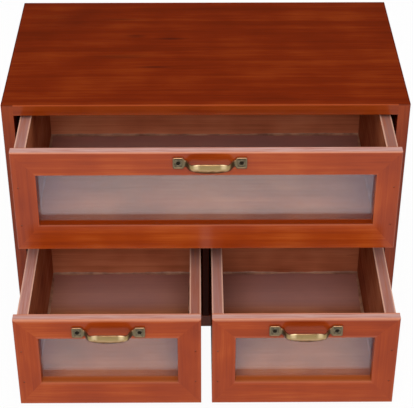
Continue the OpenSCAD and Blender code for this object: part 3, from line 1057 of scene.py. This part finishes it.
def bow_pull(drawer, brass, dark_brass):
    """A pull bent from brass strip, in place of its plain solid."""
    low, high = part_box(drawer + "_pull")
    middle_x, middle_z, wall_y = (low.x + high.x) / 2, (low.z + high.z) / 2, high.y
    half = bow_line()
    line = [(-x, y, -a) for x, y, a in reversed(half)] + half[1:]
    mesh = bmesh.new()
    rings = []
    for x, y, a in line:
        along = abs(x) - FOOT_INNER
        in_middle = MIDDLE_FROM - 0.01 < along < MIDDLE_TO + 0.01
        crown = 1 - min(max((along + 3) / 3, 0.0), 1.0)
        section = strip_section(strip_half_height(abs(x)), crown, FOOT_SINK if in_middle else 0)
        ring = []
        for depth, height in section:
            px, py = x + depth * math.sin(a), y + depth * math.cos(a)
            ring.append(
                mesh.verts.new((middle_x + px * MM, wall_y - py * MM, middle_z + height * MM))
            )
        rings.append((in_middle, ring))
    count = len(rings[0][1])
    for (near_in, near), (far_in, far) in zip(rings, rings[1:]):
        for i in range(count):
            if near_in and far_in and SUNK_FROM <= i < SUNK_TO:
                continue
            j = (i + 1) % count
            mesh.faces.new((near[i], near[j], far[j], far[i])).smooth = True
    mesh.faces.new(list(reversed(rings[0][1])))
    mesh.faces.new(rings[-1][1])
    for side in (-1, 1):
        middle = [ring for inside, ring in rings if inside and (ring[0].co.x - middle_x) * side > 0]
        edge = (
            [ring[SUNK_FROM] for ring in middle]
            + middle[-1][SUNK_FROM + 1 : SUNK_TO + 1]
            + [ring[SUNK_TO] for ring in reversed(middle[:-1])]
            + middle[0][SUNK_TO - 1 : SUNK_FROM : -1]
        )
        centre = Vector(
            (middle_x + side * PULL_SPACING / 2 * MM, wall_y - (STRIP_T - FOOT_SINK) * MM, middle_z)
        )
        countersunk_middle(mesh, edge, centre, Vector((0, -1, 0)))
    bmesh.ops.recalc_face_normals(mesh, faces=mesh.faces)
    data = bpy.data.meshes.new(drawer + "_bow_pull")
    mesh.to_mesh(data)
    mesh.free()
    pull = bpy.data.objects.new(drawer + "_bow_pull", data)
    bpy.context.scene.collection.objects.link(pull)
    data.materials.append(brass)
    data.materials.append(dark_brass)
    smooth = pull.modifiers.new("rounded", "SUBSURF")
    smooth.levels = smooth.render_levels = 1
    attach(pull, drawer)
    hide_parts(drawer + "_pull")


# ---- dried glue along the floor panels ----

BEAD_STEP = 4 * MM


def glue_line(drawer, glue):
    """A bead of glue in the corner between the floor panel and the walls, about 1 to 3 mm
    wide. It swells and thins along a wall, and a little more at random."""
    floor_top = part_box(drawer + "_floor")[1].z
    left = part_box(drawer + "_left_wall")[1].x
    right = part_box(drawer + "_right_wall")[0].x
    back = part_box(drawer + "_back_wall")[0].y
    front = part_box(drawer + "_pane")[1].y
    hand = random.Random(drawer)
    mesh = bmesh.new()
    corners = [(left, front), (left, back), (right, back), (right, front)]
    insides = [(1, 0), (0, -1), (-1, 0)]
    for (x0, y0), (x1, y1), (nx, ny) in zip(corners, corners[1:], insides):
        steps = max(int(math.hypot(x1 - x0, y1 - y0) / BEAD_STEP), 1)
        rows = []
        for i in range(steps + 1):
            t = i / steps
            x, y = x0 + (x1 - x0) * t, y0 + (y1 - y0) * t
            size = (1.8 + 0.6 * math.sin(9 * t + nx) + hand.uniform(-0.4, 0.4)) * MM
            row = []
            for out, rise in ((0, 0.7 * size), (0.35 * size, 0.25 * size), (size, 0.02 * MM)):
                row.append(mesh.verts.new((x + nx * out, y + ny * out, floor_top + rise)))
            rows.append(row)
        for a, b in zip(rows, rows[1:]):
            for k in range(2):
                mesh.faces.new((a[k], b[k], b[k + 1], a[k + 1])).smooth = True
    bmesh.ops.recalc_face_normals(mesh, faces=mesh.faces)
    data = bpy.data.meshes.new(drawer + "_glue_line")
    mesh.to_mesh(data)
    mesh.free()
    bead = bpy.data.objects.new(drawer + "_glue_line", data)
    bpy.context.scene.collection.objects.link(bead)
    data.materials.append(glue)
    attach(bead, drawer)


# ---- table, light and camera ----

# How bright the white room lights the set, while it is seen as full white
ROOM_LIGHT = 0.62
# How much of the table is plain white to the camera. The rest takes the shadow.
TABLE_WHITE = 0.96

# The camera as it was fitted to the photograph: its place in mm, its turns in degrees, and
# its lens as the focal length in pixels of a picture that is PICTURE_W wide
CAMERA_PLACE = (-6.1, -1038.0, 798.0)
CAMERA_PITCH, CAMERA_YAW, CAMERA_ROLL = 34.944, 0.437, 0.051
FOCAL_PIXELS, PICTURE_W, SENSOR_W = 1320.6, 414, 36


def camera_sees(tree):
    """One where the camera looks at a place itself, in a gloss or through a pane, and
    nothing where the place only lights the set."""
    path = add(tree, "ShaderNodeLightPath")
    seen = add(
        tree,
        "ShaderNodeMath",
        {"operation": "MAXIMUM"},
        {0: path.outputs["Is Camera Ray"], 1: path.outputs["Is Glossy Ray"]},
    )
    seen = add(
        tree,
        "ShaderNodeMath",
        {"operation": "MAXIMUM"},
        {0: seen.outputs[0], 1: path.outputs["Is Transmission Ray"]},
    )
    return seen.outputs[0]


def white_table():
    """The table is white for the camera and in reflections, and keeps a faint shadow."""
    data = bpy.data.meshes.new("table")
    data.from_pydata([(-4, -4, 0), (4, -4, 0), (4, 4, 0), (-4, 4, 0)], [], [(0, 1, 2, 3)])
    table = bpy.data.objects.new("table", data)
    table.location.z = cad_box[0].z - 0.05 * MM
    bpy.context.scene.collection.objects.link(table)
    material, tree, shader = new_material("white_paper_table")
    wire(tree, shader, {"Base Color": hex_colour("#f4f4f4"), "Roughness": 0.9})
    white = add(tree, "ShaderNodeEmission", None, {"Color": hex_colour("#ffffff"), "Strength": 1.0})
    share = add(
        tree, "ShaderNodeMath", {"operation": "MULTIPLY"}, {0: camera_sees(tree), 1: TABLE_WHITE}
    )
    mix = add(
        tree,
        "ShaderNodeMixShader",
        None,
        {0: share.outputs[0], 1: shader.outputs[0], 2: white.outputs[0]},
    )
    wire(tree, tree.nodes["Material Output"], {"Surface": mix.outputs[0]})
    data.materials.append(material)


def studio_light():
    """A white room: even light from all round, a large soft lamp over the camera that
    reaches into the drawers, and a weak one overhead."""
    world = bpy.data.worlds.new("white_room")
    bpy.context.scene.world = world
    world.use_nodes = True
    tree = world.node_tree
    strength = add(
        tree,
        "ShaderNodeMapRange",
        None,
        {0: camera_sees(tree), 1: 0.0, 2: 1.0, 3: ROOM_LIGHT, 4: 1.0},
    )
    wire(
        tree,
        tree.nodes["Background"],
        {"Color": hex_colour("#ffffff"), "Strength": strength.outputs[0]},
    )
    for name, place, target, size, power in (
        ("soft_lamp_over_camera", (-0.05, -1.25, 1.2), (0, -0.1, 0.1), 0.7, 11.5),
        ("soft_lamp_overhead", (0.2, -0.4, 1.5), (0, -0.1, 0.1), 1.0, 4),
    ):
        data = bpy.data.lights.new(name, "AREA")
        data.size = size
        data.energy = power
        lamp = bpy.data.objects.new(name, data)
        bpy.context.scene.collection.objects.link(lamp)
        lamp.location = place
        lamp.rotation_euler = (Vector(target) - Vector(place)).to_track_quat("-Z", "Y").to_euler()


def photograph_camera():
    """The camera at the photograph's place: 35 degrees down on the front, a little over a
    metre away, with a long lens."""
    pitch, yaw, roll = (math.radians(a) for a in (CAMERA_PITCH, CAMERA_YAW, CAMERA_ROLL))
    ahead = Vector(
        (math.sin(yaw) * math.cos(pitch), math.cos(yaw) * math.cos(pitch), -math.sin(pitch))
    )
    level = Vector((math.cos(yaw), -math.sin(yaw), 0))
    over = level.cross(ahead)
    right = math.cos(roll) * level + math.sin(roll) * over
    up = math.cos(roll) * over - math.sin(roll) * level
    data = bpy.data.cameras.new("photograph_camera")
    data.sensor_width = SENSOR_W
    data.lens = FOCAL_PIXELS / PICTURE_W * SENSOR_W
    data.clip_start, data.clip_end = 0.05, 20
    camera = bpy.data.objects.new("photograph_camera", data)
    bpy.context.scene.collection.objects.link(camera)
    turn = Matrix((right, up, -ahead)).transposed().to_4x4()
    place = Vector(CAMERA_PLACE) * MM
    camera.matrix_world = Matrix.Translation(place) @ turn
    bpy.context.scene.camera = camera


steel = blackened_steel()
nails = stained_nails()
dark_brass = darkened_brass()
glue = dried_glue()

dress_case()
for name in ("case_nails", "back_nails"):
    dress(name, nails)
for drawer in DRAWERS:
    dress_front(drawer)
    dress_walls(drawer)
    dress_floor(drawer)
    dress(drawer + "_pane", clear_acrylic(drawer, HAZE[drawer]))
    dress(drawer + "_nails", nails)
    dress(drawer + "_pull_screws", steel)
    bow_pull(drawer, aged_brass(drawer), dark_brass)
    glue_line(drawer, glue)

white_table()
studio_light()
photograph_camera()
bpy.context.scene.view_settings.view_transform = "Standard"
